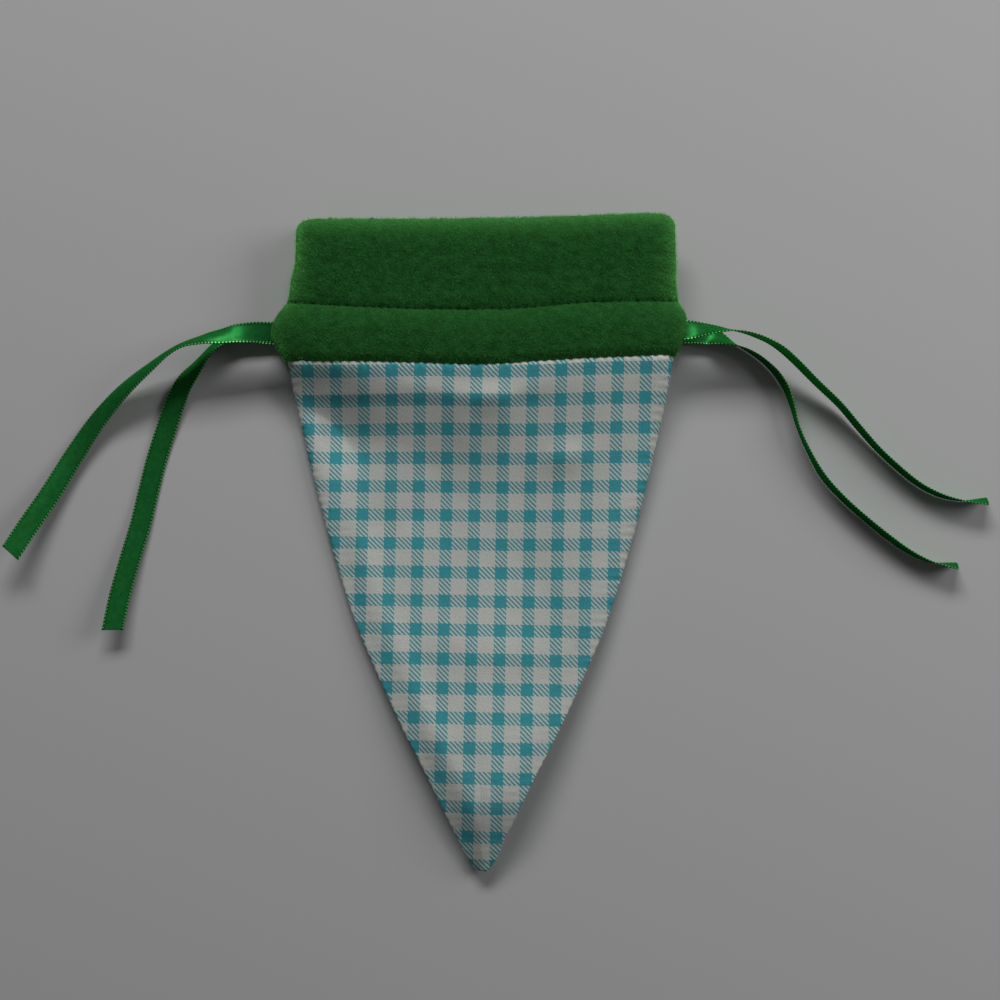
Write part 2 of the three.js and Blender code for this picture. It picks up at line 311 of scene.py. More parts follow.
def solid_sheet(grid, uv, thickness, bulge=None):
    """(vertices, faces, uvs) of a closed sheet round a grid of points, with rounded rims.

    thickness may be an array over the grid, and bulge(points, seed) is added to it on either face.
    """
    rows, columns = grid.shape[:2]
    normal = grid_normals(grid)
    half = np.broadcast_to(np.asarray(thickness) / 2, (rows, columns))[..., None]
    front = grid + normal * half
    back = grid - normal * half
    if bulge is not None:
        front = front + normal * bulge(front, 1)[..., None]
        back = back - normal * bulge(back, 2)[..., None]

    def padded(values):
        return np.pad(values, ((1, 1), (1, 1)) + ((0, 0),) * (values.ndim - 2), mode="edge")

    def rim(edge, inside, half_there):
        step = edge - inside
        return step / np.linalg.norm(step, axis=1, keepdims=True) * half_there * RIM

    wide = padded(grid)
    wide[0, 1:-1] += rim(grid[0], grid[1], half[0])
    wide[-1, 1:-1] += rim(grid[-1], grid[-2], half[-1])
    wide[1:-1, 0] += rim(grid[:, 0], grid[:, 1], half[:, 0])
    wide[1:-1, -1] += rim(grid[:, -1], grid[:, -2], half[:, -1])
    for i, next_i in ((0, 1), (-1, -2)):
        for j, next_j in ((0, 1), (-1, -2)):
            wide[i, j] = (wide[i, next_j] + wide[next_i, j]) / 2
    wide[1:-1, 1:-1] = front

    front_index = np.arange((rows + 2) * (columns + 2)).reshape(rows + 2, columns + 2)
    back_index = front_index.copy()
    back_index[1:-1, 1:-1] = front_index.size + np.arange(rows * columns).reshape(rows, columns)
    vertices = np.concatenate([wide.reshape(-1, 3), back.reshape(-1, 3)])
    uvs = np.concatenate([padded(uv).reshape(-1, 2), uv.reshape(-1, 2)])

    def quads(index):
        corners = [index[:-1, :-1], index[:-1, 1:], index[1:, 1:], index[1:, :-1]]
        return np.stack(corners, axis=-1).reshape(-1, 4)

    faces = np.concatenate([quads(front_index), quads(back_index)[:, ::-1]])
    return vertices, faces, uvs


def run_along(line):
    """The length of a line from its start to each of its points."""
    return np.concatenate([[0], np.cumsum(np.linalg.norm(np.diff(line, axis=0), axis=1))])


def points_at(at, run, line):
    """What the line's columns hold at the lengths in at, where run gives the length at each of its points."""
    return np.stack([np.interp(at, run, column) for column in line.T], axis=1)


def stitch_row(name, line, out, radius, material, seed):
    """A row of separate stitches along a line of points; each one dips into the cloth at its ends."""
    random = np.random.default_rng(seed)
    run = run_along(line)
    count = int(run[-1] // STITCH_LENGTH)
    out = np.array(out, float)
    bow = np.sin(np.linspace(0, np.pi, STITCH_RINGS))
    thick = radius * (0.55 + 0.45 * bow)[:, None, None]
    angle = np.linspace(0, 2 * np.pi, STITCH_SIDES, endpoint=False)[None, :, None]
    vertices, faces = [], []
    for k in range(count):
        proud = random.normal(0, 0.25) * radius
        start, end = ((k + part) * STITCH_LENGTH for part in STITCH_SPAN)
        centre = points_at(np.linspace(start, end, STITCH_RINGS), run, line)
        centre = centre + out * ((bow[:, None] - 1) * radius * 1.6 + proud)
        forward = centre[-1] - centre[0]
        forward /= np.linalg.norm(forward)
        left = np.cross(out, forward)
        rings = centre[:, None] + thick * (np.cos(angle) * left + np.sin(angle) * out)
        first = len(vertices) * STITCH_RINGS * STITCH_SIDES
        last = first + (STITCH_RINGS - 1) * STITCH_SIDES
        vertices.append(rings.reshape(-1, 3))
        for i in range(first, last, STITCH_SIDES):
            for j in range(STITCH_SIDES):
                n = (j + 1) % STITCH_SIDES
                faces.append([i + j, i + n, i + STITCH_SIDES + n, i + STITCH_SIDES + j])
        for ring in (first, last):
            faces += [[ring + j for j in quad] for quad in STITCH_END]
    return mesh_object(name, np.concatenate(vertices), faces, material)


# ---------------------------------------------------------------- stage, light and camera


def make_camera():
    """A camera that sees VIEW_WIDTH at the distance of VIEW_CENTRE."""
    data = bpy.data.cameras.new("camera")
    data.lens = LENS
    data.sensor_width = SENSOR
    camera = bpy.data.objects.new("camera", data)
    distance = VIEW_WIDTH * LENS / SENSOR
    back = Vector((0, -math.sin(VIEW_TILT), math.cos(VIEW_TILT)))
    camera.location = Vector(VIEW_CENTRE) + back * distance
    camera.rotation_euler = (VIEW_TILT, 0, 0)
    bpy.context.scene.camera = linked(camera)


def area_light(name, position, size, power):
    """A rectangular light that faces the origin."""
    data = bpy.data.lights.new(name, "AREA")
    data.shape = "RECTANGLE"
    data.size, data.size_y = size
    data.energy = power
    light = bpy.data.objects.new(name, data)
    light.location = position
    light.rotation_euler = Vector(position).to_track_quat("Z", "Y").to_euler()
    linked(light)


def make_stage():
    """The floor, the two lights and the sky."""
    mesh = bpy.data.meshes.new("floor")
    reach = FLOOR_REACH
    corners = [(-reach, -reach, 0), (reach, -reach, 0), (reach, reach, 0), (-reach, reach, 0)]
    mesh.from_pydata(corners, [], [(0, 1, 2, 3)])
    mesh.materials.append(Look("floor", (FLOOR_GREY,) * 3, 0.6).material)
    linked(bpy.data.objects.new("floor", mesh))
    key_y, key_z = KEY_DISTANCE * math.cos(KEY_ELEVATION), KEY_DISTANCE * math.sin(KEY_ELEVATION)
    area_light("key", (KEY_OFFSET, key_y, key_z), KEY_SIZE, KEY_POWER)
    area_light("fill", FILL_POSITION, FILL_SIZE, FILL_POWER)
    world = bpy.data.worlds.new("world")
    world.use_nodes = True
    background = world.node_tree.nodes["Background"]
    background.inputs["Color"].default_value = (1, 1, 1, 1)
    background.inputs["Strength"].default_value = SKY_STRENGTH
    bpy.context.scene.world = world
    bpy.context.scene.view_settings.view_transform = "Standard"


# ---------------------------------------------------------------- materials


class Look:
    """A material in one plain colour, and short ways to add the nodes that are used here."""

    def __init__(self, name, colour, roughness):
        self.material = bpy.data.materials.new(name)
        self.material.use_nodes = True
        self.nodes = self.material.node_tree.nodes
        self.shader = self.nodes["Principled BSDF"]
        self.set({"Base Color": (*colour, 1), "Roughness": roughness})

    def set(self, values):
        """Set the shader's sockets by name."""
        for name, value in values.items():
            self.shader.inputs[name].default_value = value

    def feed(self, socket, value):
        """Put a number, a colour or another node's output into a socket."""
        if isinstance(value, bpy.types.NodeSocket):
            self.material.node_tree.links.new(value, socket)
        elif isinstance(value, tuple):
            socket.default_value = (*value, 1)
        else:
            socket.default_value = value

    def colour(self, value):
        """Take the base colour from another node's output."""
        self.feed(self.shader.inputs["Base Color"], value)

    def math(self, operation, *values):
        node = self.nodes.new("ShaderNodeMath")
        node.operation = operation
        for socket, value in zip(node.inputs, values):
            self.feed(socket, value)
        return node.outputs[0]

    def wave(self, value, pitch):
        """A sine wave of that pitch over a value."""
        return self.math("SINE", self.math("MULTIPLY", value, 2 * math.pi / pitch))

    def mix(self, factor, a, b):
        node = self.nodes.new("ShaderNodeMix")
        node.data_type = "RGBA"
        for index, value in ((0, factor), (6, a), (7, b)):
            self.feed(node.inputs[index], value)
        return node.outputs[2]

    def ramp(self, value, low, high):
        """value taken from low..high to 0..1, smoothly."""
        node = self.nodes.new("ShaderNodeMapRange")
        node.interpolation_type = "SMOOTHSTEP"
        node.inputs["From Min"].default_value = low
        node.inputs["From Max"].default_value = high
        self.feed(node.inputs["Value"], value)
        return node.outputs["Result"]

    def noise(self, scale, detail, vector=None):
        """Noise over the object's own coordinates, or over a vector."""
        node = self.nodes.new("ShaderNodeTexNoise")
        node.inputs["Scale"].default_value = scale
        node.inputs["Detail"].default_value = detail
        if vector is None:
            vector = self.nodes.new("ShaderNodeTexCoord").outputs["Object"]
        self.feed(node.inputs["Vector"], vector)
        return node.outputs["Fac"]

    def mottle(self, wide, fine):
        """Two noises in equal parts."""
        return self.math("MULTIPLY_ADD", fine, 0.5, self.math("MULTIPLY", wide, 0.5))

    def bump(self, height, distance):
        node = self.nodes.new("ShaderNodeBump")
        node.inputs["Strength"].default_value = 1
        node.inputs["Distance"].default_value = distance
        self.feed(node.inputs["Height"], height)
        self.feed(self.shader.inputs["Normal"], node.outputs["Normal"])

    def pattern(self):
        """The mesh's own coordinates: as a vector, u and v."""
        uv = self.nodes.new("ShaderNodeUVMap")
        uv.uv_map = "pattern"
        split = self.nodes.new("ShaderNodeSeparateXYZ")
        self.feed(split.inputs[0], uv.outputs["UV"])
        return uv.outputs["UV"], split.outputs[0], split.outputs[1]


def satin_material():
    """Satin ribbon: u runs along it in millimetres, v across it from -1 to 1."""
    look = Look("green_satin", (0.03, 0.3, 0.07), 0.42)
    _, u, v = look.pattern()
    away = look.math("ABSOLUTE", v)
    weft = look.wave(u, WEFT_PITCH / MM)
    loop = look.wave(u, PICOT_PITCH / MM)
    edge = look.ramp(away, 0.82, 0.88)
    # The picot loops along both edges are painted lighter: a painted highlight, where the loops catch the
    # light.
    lit_picots = look.math("MULTIPLY", edge, look.ramp(loop, -0.3, 0.6))
    mottle = look.noise(700, 3)
    body = look.mix(look.ramp(mottle, 0.3, 0.7), (0.013, 0.148, 0.030), (0.022, 0.215, 0.046))
    lined = look.mix(look.ramp(weft, 0.0, 1.0), body, (0.026, 0.250, 0.055))
    selvedge = look.mix(look.ramp(away, 0.74, 0.82), lined, (0.009, 0.09, 0.020))
    look.colour(look.mix(lit_picots, selvedge, (0.17, 0.62, 0.19)))
    look.set(
        {
            "Metallic": 0.58,
            "Specular IOR Level": 0.0,
            "Specular Tint": (0.3, 1.0, 0.4, 1),
            "Anisotropic": 0.3,
        }
    )
    look.bump(look.math("MULTIPLY_ADD", weft, 0.12, mottle), 0.04 * MM)
    return look.material


def fleece_material():
    """Fleece under its nap: u rises to 1 at the cloth's edges, which are painted lighter as painted rim
    light.
    """
    look = Look("green_fleece", (0.02, 0.085, 0.02), 1)
    both = look.mottle(look.noise(380, 3), look.noise(1500, 3))
    colour = look.mix(look.ramp(both, 0.32, 0.70), (0.0085, 0.067, 0.012), (0.021, 0.137, 0.027))
    _, rim, _ = look.pattern()
    # Painted rim light: the cloth is painted lighter towards its edges, where the fuzz would catch the light.
    look.colour(look.mix(rim, colour, (0.07, 0.30, 0.065)))
    look.set(
        {
            "Specular IOR Level": 0.1,
            "Sheen Weight": 0.7,
            "Sheen Roughness": 0.5,
            "Sheen Tint": (0.22, 0.7, 0.16, 1),
        }
    )
    look.bump(both, 0.6 * MM)
    return look.material


def nap_material():
    """Fleece fibres: v runs from 0 at the root to 1 at the tip, and u rises to 1 at the cloth's edges.

    Roots are painted darker and tips lighter, a painted shade of the fibres on one another, and fibres near
    an edge are painted lighter still, as painted rim light.
    """
    look = Look("fleece_nap", (0.035, 0.17, 0.035), 1)
    _, rim, v = look.pattern()
    patch = look.ramp(look.mottle(look.noise(360, 3), look.noise(900, 2)), 0.30, 0.70)
    # Painted shade: roots darker than tips, for the fibres' shade on one another.
    root = look.mix(patch, (0.0085, 0.068, 0.012), (0.019, 0.128, 0.024))
    tip = look.mix(patch, (0.033, 0.190, 0.034), (0.075, 0.378, 0.074))
    # Painted rim light: fibres near the cloth's edges are painted lighter.
    lit_edge_tip = look.mix(rim, tip, (0.24, 0.86, 0.21))
    lit_edge_root = look.mix(rim, root, (0.085, 0.36, 0.075))
    look.colour(look.mix(v, lit_edge_root, lit_edge_tip))
    look.set({"Specular IOR Level": 0.1, "Sheen Weight": 0.8, "Sheen Tint": (0.25, 0.8, 0.18, 1)})
    return look.material


def thread_material(name, colour):
    """Sewing thread, with a fine twist."""
    look = Look(name, colour, 0.6)
    look.bump(look.noise(4000, 1), 0.1 * MM)
    return look.material


def gingham_material():
    """Printed gingham: u and v count the pattern's repeats. The print's half tones are diagonal lines."""
    look = Look("gingham_cotton", (0.6, 0.6, 0.55), 0.9)
    vector, u, v = look.pattern()
    wobble = look.noise(23.0, 2, vector)

    def stripe(value):
        drifted = look.math("MULTIPLY_ADD", wobble, 0.035, look.math("SUBTRACT", value, 0.0175))
        part = look.math("FRACT", drifted)
        rise = look.ramp(part, 0.0, 0.03)
        fall = look.math("SUBTRACT", 1, look.ramp(part, 0.43, 0.46))
        return look.math("MULTIPLY", rise, fall)

    column, row = stripe(u), stripe(v)
    both = look.math("MULTIPLY", column, row)
    either = look.math("MAXIMUM", column, row)
    right = look.math("MULTIPLY", u, PATTERN_U / DIAGONAL_PITCH)
    up = look.math("MULTIPLY", v, PATTERN_V / DIAGONAL_PITCH)
    slanted = look.math("ADD", right, up)
    line = look.math("FRACT", look.math("MULTIPLY_ADD", wobble, 0.25, slanted))
    line = look.math("ABSOLUTE", look.math("SUBTRACT", line, 0.5))
    line = look.math("SUBTRACT", 1, look.ramp(line, 0.19, 0.29))
    ink = look.math("MAXIMUM", both, look.math("MULTIPLY", either, line))
    threads_u = look.wave(u, THREAD_PITCH_U / PATTERN_U)
    threads_v = look.wave(v, THREAD_PITCH_V / PATTERN_V)
    weave = look.math("MULTIPLY", threads_u, threads_v)
    speck = look.noise(20.0, 3, vector)
    shade = look.ramp(speck, 0.3, 0.7)
    white = look.mix(shade, (0.68, 0.705, 0.65), (0.82, 0.85, 0.795))
    teal = look.mix(shade, (0.033, 0.35, 0.40), (0.056, 0.485, 0.55))
    look.colour(look.mix(look.math("MULTIPLY", ink, 0.97), white, teal))
    look.set({"Specular IOR Level": 0.2, "Sheen Weight": 0.08})
    look.bump(look.math("MULTIPLY_ADD", weave, 0.25, speck), 0.12 * MM)
    return look.material


# ---------------------------------------------------------------- ribbons


def spline_points(route, per_span):
    """Points along a centripetal Catmull-Rom curve through the route, with what else each point holds."""
    p = np.array(route, float)
    p = np.vstack([2 * p[0] - p[1], p, 2 * p[-1] - p[-2]])
    result = []
    for i in range(1, len(p) - 2):
        p0, p1, p2, p3 = p[i - 1 : i + 3]
        d0, d1, d2 = (
            max(np.linalg.norm((b - a)[:3]) ** 0.5, 1e-9) for a, b in ((p0, p1), (p1, p2), (p2, p3))
        )
        m1 = ((p1 - p0) / d0 - (p2 - p0) / (d0 + d1) + (p2 - p1) / d1) * d1
        m2 = ((p2 - p1) / d1 - (p3 - p1) / (d1 + d2) + (p3 - p2) / d2) * d1
        t = np.linspace(0, 1, per_span, endpoint=False)[:, None]
        result.append(
            (2 * t**3 - 3 * t**2 + 1) * p1
            + (t**3 - 2 * t**2 + t) * m1
            + (3 * t**2 - 2 * t**3) * p2
            + (t**3 - t**2) * m2
        )
    return np.vstack([*result, p[-2]])


def even_points(route, step):
    """Points at even steps of length along the route's curve, the length at each, and the whole length."""
    fine = spline_points(route, per_span=60)
    run = run_along(fine[:, :3])
    at = np.linspace(0, run[-1], int(round(run[-1] / step)) + 1)
    return points_at(at, run, fine), at, run[-1]


def ribbon(name, route, material, cut=0.0):
    """A satin ribbon with looped edges along a route: the piece, points on its path, and its length."""
    points, at, length = even_points(route, PICOT_PITCH / STEPS_PER_PICOT)
    centre, roll = points[:, :3], np.radians(points[:, 3])[:, None]
    forward = np.gradient(centre, axis=0)
    forward /= np.linalg.norm(forward, axis=1, keepdims=True)
    left = np.stack([-forward[:, 1], forward[:, 0], np.zeros(len(forward))], axis=1)
    left /= np.linalg.norm(left, axis=1, keepdims=True)
    widthways = left * np.cos(roll) + np.cross(forward, left) * np.sin(roll)
    outwards = np.cross(forward, widthways)
    share = np.array([-1, -0.985, -0.95, -0.9, -0.6, -0.3, 0, 0.3, 0.6, 0.9, 0.95, 0.985, 1])
    loop = 0.5 + 0.5 * np.cos(2 * np.pi * at / PICOT_PITCH)[:, None]
    stand_out = np.where(np.abs(share) == 1, PICOT_STAND_OUT, 0) * (loop - 0.4)
    across = share[None, :] * RIBBON_WIDTH / 2 * 0.98 + np.sign(share) * stand_out
    # The ribbon is cupped across its width, most where its roll is over 45 degrees.
    curl = (0.1 + 0.75 * smoothstep(points[:, 3], 15, 45)) * MM
    cup = -curl[:, None] * share[None, :] ** 2
    slant = cut * share[None, :] * smoothstep(at, length - CUT_REACH, length)[:, None]
    grid = (
        centre[:, None, :]
        + widthways[:, None, :] * across[..., None]
        + outwards[:, None, :] * cup[..., None]
        + forward[:, None, :] * slant[..., None]
    )
    edge = smoothstep(np.abs(share), 0.88, 0.97)[None, :]
    thickness = RIBBON_THICKNESS * (1 + edge * (0.1 + 0.5 * loop))
    uv = np.stack([np.broadcast_to(at[:, None] / MM, across.shape), across * 2 / RIBBON_WIDTH], axis=-1)
    vertices, faces, uvs = solid_sheet(grid, uv, thickness)
    return mesh_object(name, vertices, faces, material, uvs), centre[::STEPS_PER_PICOT], length


def make_ribbons():
    """The four free tails, and the run of each ribbon inside its casing."""
    satin = satin_material()
    for node, route in TAILS.items():
        body = node.rsplit("_", 2)[0]
        piece, path, length = ribbon(node + "_ribbon", route, satin, CUTS[node])
        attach(piece, body)
        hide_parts(node)
        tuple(route[2][:3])
    for side in ("front", "back"):
        low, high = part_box(f"{side}_drawstring_run")
        y, z = (low[1] + high[1]) / 2, (low[2] + high[2]) / 2
        route = [(x, y, z, 0) for x in np.linspace(low[0], high[0], 7)]
        piece, _, _ = ribbon(f"{side}_drawstring_run_ribbon", route, satin)
        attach(piece, f"{side}_drawstring")
        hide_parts(f"{side}_drawstring_run")


# ---------------------------------------------------------------- fleece collars

# Over y: half the collar's width, and how far its middle stands to the right.
half_width = smooth_curve(
    [
        (53, 57.3), (55.7, 58.9), (59.3, 60.8), (62, 60.9), (65.4, 60.3), (68.1, 58.7), (71, 57.5),
        (76.3, 56.8), (80.5, 56.3), (88, 55.9), (98, 55.8),
    ]
)
sideways = smooth_curve(
    [
        (53, 0), (55.7, -0.4), (59.3, -0.7), (62, -0.6), (65.4, 0), (68.1, 0.3), (71, 0.6), (76.3, 0.7),
        (80.5, 1.2), (92, 1.4),
    ]
)
# Over x: how far the seam, the stitch line and the top edge stray towards +Y from straight lines.
seam_sag = smooth_curve([(-60, 0), (-33, -0.25), (0, -1.1), (20, 0), (38, 1.0), (60, 1.5)])
stitch_sag = smooth_curve([(-60, 0.8), (-30, -0.9), (-6, -1.5), (11, -1.1), (32, 0.6), (60, 1.0)])
top_tilt = smooth_curve([(-60, -1.1), (0, -1.0), (57, 0.7)])
CORNER = 3.6  # how far the header's top corners are rounded
LAYER_ROWS = 92
FOLD_ROWS = 10
COLLAR_COLUMNS = 236
END_COLUMNS = 5  # the stitch line stops this many columns from either end
STITCH_DEPTH = 0.05 * MM  # how far below the cloth's face the middle of a stitch lies
LOWEST_FLEECE = 0.02 * MM  # nothing of the cloth lies below this, and no fibre below the next
LOWEST_FIBRE = 0.01 * MM
NAP_FIBRES = 88000
NAP_SEED = {"front": 11, "back": 12}
FIBRE_LENGTH = (0.45, 1.0)  # in millimetres, from and to; longer at edges, and shorter where it is sewn
FIBRE_WIDTH = (0.08, 0.14)
FIBRE_ROOT = 0.12 * MM  # how deep a fibre's root sits in the cloth


def collar_profile(side):
    """A collar's outer and inner layer as heights over y, its top's y, and a function to world heights.

    Heights count outwards from the casing's inner face, and the last value is the casing's thickness.
    """
    low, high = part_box(f"{side}_casing")
    casing_low, casing_high = low[2] / MM, high[2] / MM
    low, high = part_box(f"{side}_header")
    header_low, header_high, top = low[2] / MM, high[2] / MM, high[1] / MM
    if side == "front":
        header_in, header_out = header_low - casing_low + LAYER / 2, header_high - casing_low - LAYER / 2
    else:
        header_in, header_out = casing_high - header_high + LAYER / 2, casing_high - header_low - LAYER / 2
    thick = casing_high - casing_low
    crest = thick - LAYER / 2
    outer_height = smooth_curve(
        [
            (SEAM, 1.4),
            (SEAM + 0.7, 2.4),
            (SEAM + 2.0, 3.4),
            (SEAM + 4.4, crest - 0.25),
            (SEAM + 7.6, crest + 0.05),
            (STITCH - 6.4, crest),
            (STITCH - 4.2, crest - 0.6),
            (STITCH - 2.8, min(header_out, crest - 0.9)),
            (STITCH - 1.3, header_out - 0.95),
            (STITCH, header_out - 1.75),
            (STITCH + 1.4, header_out - 1.25),
            (STITCH + 8, header_out - 0.45),
            (top - 8.5, header_out + 0.6),
            (top - 6, header_out + 0.65),
            (top - 3.2, header_out + 0.15),
            (top - 1.2, header_out - 0.65),
            (top, header_out - 0.9),
        ]
    )
    inner_height = smooth_curve(
        [
            (SEAM, LAYER / 2),
            (STITCH - 4, LAYER / 2),
            (STITCH, header_in - 0.9),
            (STITCH + 7, header_in - 0.35),
            (top - 6, header_in + 0.3),
            (top - 1.2, header_in - 0.2),
            (top, header_in - 0.2),
        ]
    )

    def to_world(height):
        return casing_low + height if side == "front" else casing_high - height

    return outer_height, inner_height, top, to_world, thick


def collar_cloth(side):
    """The collar's cloth, its UV, the row that the stitches lie on, and the y of the collar's top in mm.

    The cloth is a grid of points in metres. Its rows go from the seam up the inner layer, round the fold at
    the top, and down the outer layer. Its UV holds, 0 to 1, how long the fibres grow and how much painted rim
    light they get, and y in metres.
    """
    outer_height, inner_height, top, to_world, thick = collar_profile(side)
    fold = (outer_height(top) - inner_height(top)) / 2
    fold_y = top - LAYER / 2 - fold
    fold_z = (outer_height(fold_y) + inner_height(fold_y)) / 2
    along = np.linspace(SEAM + 0.3, fold_y, LAYER_ROWS)
    turn = np.linspace(-np.pi / 2, np.pi / 2, FOLD_ROWS + 2)[1:-1]
    path_y = np.concatenate([along, fold_y + fold * np.cos(turn), along[::-1]])
    path_z = np.concatenate([inner_height(along), fold_z + fold * np.sin(turn), outer_height(along[::-1])])

    share = np.linspace(-1, 1, COLLAR_COLUMNS)[None, :]
    y = path_y[:, None] + np.zeros_like(share)
    corner = np.clip((y - (top - LAYER / 2 - CORNER)) / CORNER, 0, 1)
    half = half_width(y) - LAYER / 2 - CORNER * (1 - np.sqrt(1 - corner**2))
    x = sideways(y) + share * half
    from_end = half - np.abs(share) * half
    seam_part = np.clip((STITCH - y) / (STITCH - SEAM), 0, 1)
    top_part = np.clip((y - STITCH) / (top - STITCH), 0, 1)
    moved = (
        seam_sag(x) * seam_part
        + stitch_sag(x) * (1 - seam_part - top_part)
        + top_tilt(x) * top_part
    )

    # The two layers close up a little towards the ends, and the cloth waves gently.
    z = path_z[:, None] + np.zeros_like(share)
    halfway = (inner_height(path_y) + outer_height(path_y))[:, None] / 2
    close = smoothstep(from_end, 0, 7)
    z = halfway + (z - halfway) * (0.62 + 0.38 * close)
    flat = np.stack([x, y + moved, z], axis=-1) * [1, 1, 0.2]
    wave = noise(flat, 17, 5) * 0.28 + noise(flat, 7, 6) * 0.10
    z = z + wave * smoothstep(path_z[:, None], LAYER / 2, thick) * close
    z = z - 0.8 * (1 - smoothstep(from_end, 0, 12))

    # The outer layer is drawn in once a stitch, between one stitch and the next.
    sewn_row = LAYER_ROWS + FOLD_ROWS + int(np.argmin(np.abs(along[::-1] - STITCH)))
    stitch_phase = 2 * np.pi * (x - x[sewn_row, END_COLUMNS]) / STITCH_STEP
    pucker = 0.5 * (0.5 + 0.5 * np.cos(stitch_phase)) * hump(y, STITCH, 1.2)
    outer_side = np.arange(len(path_y))[:, None] > LAYER_ROWS
    z = z - pucker * outer_side
    cloth = np.stack([x, y + moved, to_world(z)], axis=-1) * MM

    # Fibre length and painted rim light: most at top and ends, less on the casing, a little at the seam.
    from_edge = np.minimum(from_end, top - y)
    loose_and_lit = np.exp(-np.maximum(from_edge, 0) / 2.2) * (0.35 + 0.65 * smoothstep(y, STITCH - 6, STITCH + 4))
    loose_and_lit = np.maximum(loose_and_lit, 0.24 * np.exp(-(y - SEAM) / 1.3))
    return cloth, np.stack([loose_and_lit, y * MM], axis=-1), sewn_row, top


def clumps(points, seed):
    """Matted lumps in the fleece, in metres."""
    return (
        noise(points, 0.9 * MM, seed) * 0.11
        + noise(points, 2.1 * MM, seed + 10) * 0.10
        + noise(points, 5 * MM, seed + 20) * 0.05
    ) * MM


def make_nap(name, vertices, faces, cloth, material, seed, outside):
    """Short matted fibres all over a closed mesh of quads: closest round its edges, thin on its inner side.

    cloth holds, for each vertex, how long the fibres grow and how much painted rim light they get, 0 to 1,
    and its y in metres.
    """
    random = np.random.default_rng(seed)
    corners = vertices[faces]
    cross = np.cross(corners[:, 2] - corners[:, 0], corners[:, 3] - corners[:, 1])
    area = np.linalg.norm(cross, axis=1) / 2
    normal = cross / np.maximum(2 * area[:, None], 1e-15)
    facing = normal[:, 2] * outside
    share = area * np.where(facing > -0.4, 1 + 2.5 * smoothstep(facing, 0.85, 0.3), 0.35)
    pick = random.choice(len(faces), NAP_FIBRES, p=share / share.sum())
    s, t = random.uniform(0, 1, (2, NAP_FIBRES, 1))
    c = corners[pick]
    loose_and_lit, place = cloth[faces[pick, 0]].T
    sewn = hump(place, STITCH_Y, 0.75 * MM)[:, None]
    root = (c[:, 0] * (1 - s) + c[:, 1] * s) * (1 - t) + (c[:, 3] * (1 - s) + c[:, 2] * s) * t
    up = normal[pick]
    lay = np.stack([noise(root, 2.5 * MM, seed + k) for k in (1, 2, 3)], axis=1)
    lay = lay + random.normal(0, 0.6, (NAP_FIBRES, 3))
    lay -= up * np.sum(lay * up, axis=1, keepdims=True)
    lay /= np.maximum(np.linalg.norm(lay, axis=1, keepdims=True), 1e-9)
    length = random.uniform(*FIBRE_LENGTH, (NAP_FIBRES, 1)) * (1 + 0.5 * loose_and_lit[:, None] ** 2) * MM
    length *= 1 - 0.65 * sewn
    lift = random.uniform(0.25, 1.0, (NAP_FIBRES, 1)) * (1 - 0.8 * sewn)
    along = lay + up * lift
    along /= np.linalg.norm(along, axis=1, keepdims=True)
    side = np.cross(up, lay) * random.uniform(*FIBRE_WIDTH, (NAP_FIBRES, 1)) * MM / 2
    root -= up * FIBRE_ROOT
    tip = root + along * length
    fibres = np.stack([root - side, root + side, tip + side * 0.35, tip - side * 0.35], axis=1)
    fibres[..., 2] = np.maximum(fibres[..., 2], LOWEST_FIBRE)
    quads = np.arange(NAP_FIBRES * 4).reshape(-1, 4)
    # The UV's u carries the painted rim light to the nap's material, and v runs from root to tip.
    uv = np.stack([np.repeat(loose_and_lit, 4), np.tile([0, 0, 1, 1], NAP_FIBRES)], axis=1)
    return mesh_object(name, fibres.reshape(-1, 3), quads, material, uv)


def make_collar(side, fleece, nap, green):
    """One collar: a strip of fleece folded double, its nap, and the stitches between casing and header."""
    outside = 1 if side == "front" else -1
    cloth, uv, sewn_row, top = collar_cloth(side)
    grid = cloth[::-1] if side == "front" else cloth  # the UV reads the same from either end
    vertices, faces, uvs = solid_sheet(grid, uv, FLEECE, clumps)
    vertices[:, 2] = np.maximum(vertices[:, 2], LOWEST_FLEECE)
    piece = mesh_object(f"{side}_fleece_collar", vertices, faces, fleece, uvs)
    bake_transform(piece)
    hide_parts(f"{side}_casing", f"{side}_header")
    fibres = make_nap(f"{side}_fleece_nap", vertices, faces, uvs, nap, NAP_SEED[side], outside)
    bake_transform(fibres)
    line = cloth[sewn_row] + np.array([0, 0, outside * (FLEECE / 2 - STITCH_DEPTH)])
    sewn = line[END_COLUMNS:-END_COLUMNS]
    stitches = stitch_row(f"{side}_casing_stitches", sewn, (0, 0, outside), CASING_THREAD, green, 3)
    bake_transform(stitches)
    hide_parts(f"{side}_casing_stitching")


def make_collars(green):
    """Both collars."""
    fleece = fleece_material()
    nap = nap_material()
    for side in ("front", "back"):
        make_collar(side, fleece, nap, green)


# ---------------------------------------------------------------- cotton pouch

# Half the pouch's width, over the distance from its tip.
outline = smooth_curve(
    [
        (0, 1.0), (1, 2.2), (2.6, 3.7), (5.5, 5.3), (8.8, 6.7), (16.2, 10.3), (26.8, 15.5), (43.2, 24.0),
        (55.6, 29.8), (73.8, 37.6), (91.5, 43.3), (105.6, 47.3), (122.4, 51.5), (136.8, 54.7), (150, 57.0),
    ]
)
# How far the lower end of the pouch arches off the table, over the distance from its tip.
tip_rise = smooth_curve(
    [
        (0, 1.9), (2.5, 2.6), (9, 4.6), (15, 6.5), (19, 7.4), (22.5, 7.6), (34, 6.6), (60, 2.8), (95, 0),
        (150, 0),
    ]
)
